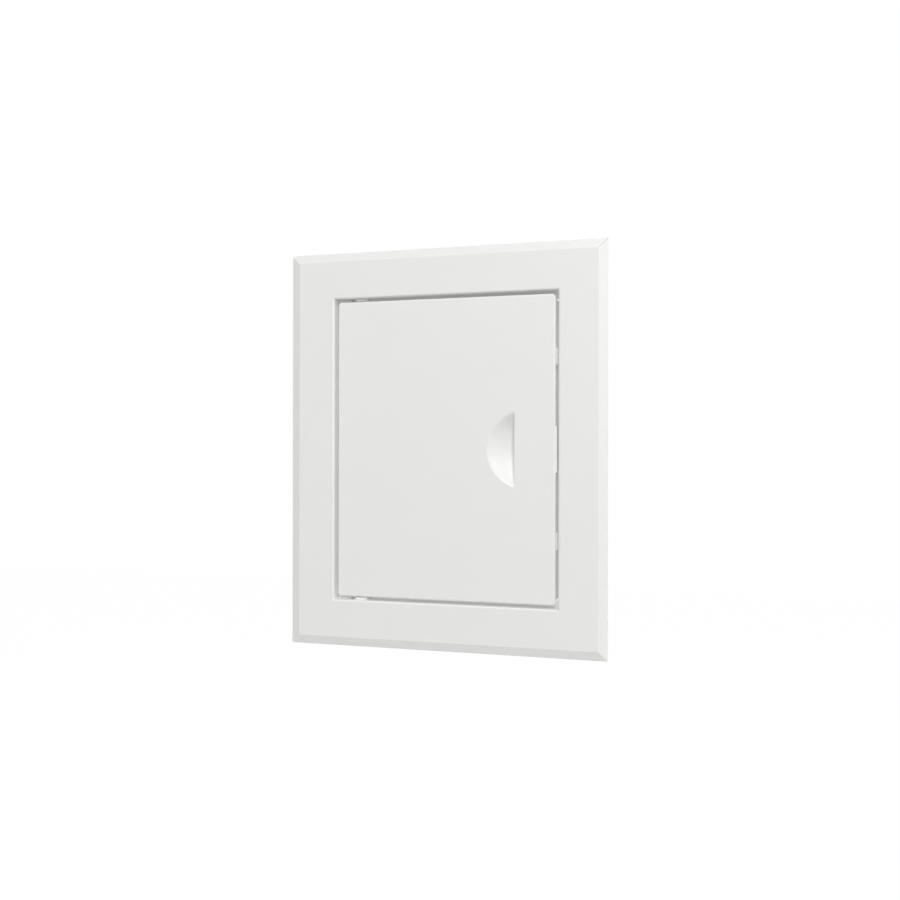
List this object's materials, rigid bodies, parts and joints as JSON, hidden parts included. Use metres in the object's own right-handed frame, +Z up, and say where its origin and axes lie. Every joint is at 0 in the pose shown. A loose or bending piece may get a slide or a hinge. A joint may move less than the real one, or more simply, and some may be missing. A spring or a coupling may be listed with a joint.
{
  "type": "access panel",
  "caption": "Rectangular folded-steel access panel: a flanged frame with sloping lips and a hinged door with a pressed half-moon finger pull and a magnetic catch.",
  "frame": {"origin": "centre of the wall opening, on the wall surface that the lips' outer edges touch", "axes": "+Z up along the hinge, +Y into the wall, +X towards the door's free edge; the face looks along -Y"},
  "size_m": [0.202, 0.0345, 0.25],
  "materials": {
    "powder_coat": "fine-textured satin white powder coat on steel sheet",
    "white_plastic": "matt moulded",
    "plated_steel": "zinc plated",
    "ferrite": "sintered, dull dark grey"
  },
  "bodies": {
    "frame": {"face_frame": "powder_coat", "upper_hinge_spacer": "white_plastic", "lower_hinge_spacer": "white_plastic", "upper_pivot_pin": "plated_steel", "lower_pivot_pin": "plated_steel", "upper_pin_washer": "plated_steel", "lower_pin_washer": "plated_steel"},
    "door": {"door_panel": "powder_coat", "upper_pivot_bush": "white_plastic", "lower_pivot_bush": "white_plastic", "magnet_holder": "white_plastic", "magnet": "ferrite", "inner_pole_plate": "plated_steel", "outer_pole_plate": "plated_steel"}
  },
  "joints": [
    {"name": "door_hinge", "type": "hinge", "parent": "frame", "child": "door", "pos_m": [-0.06025, 0.00554, 0], "axis": [0, 0, -1], "range_deg": [0, 115]}
  ]
}
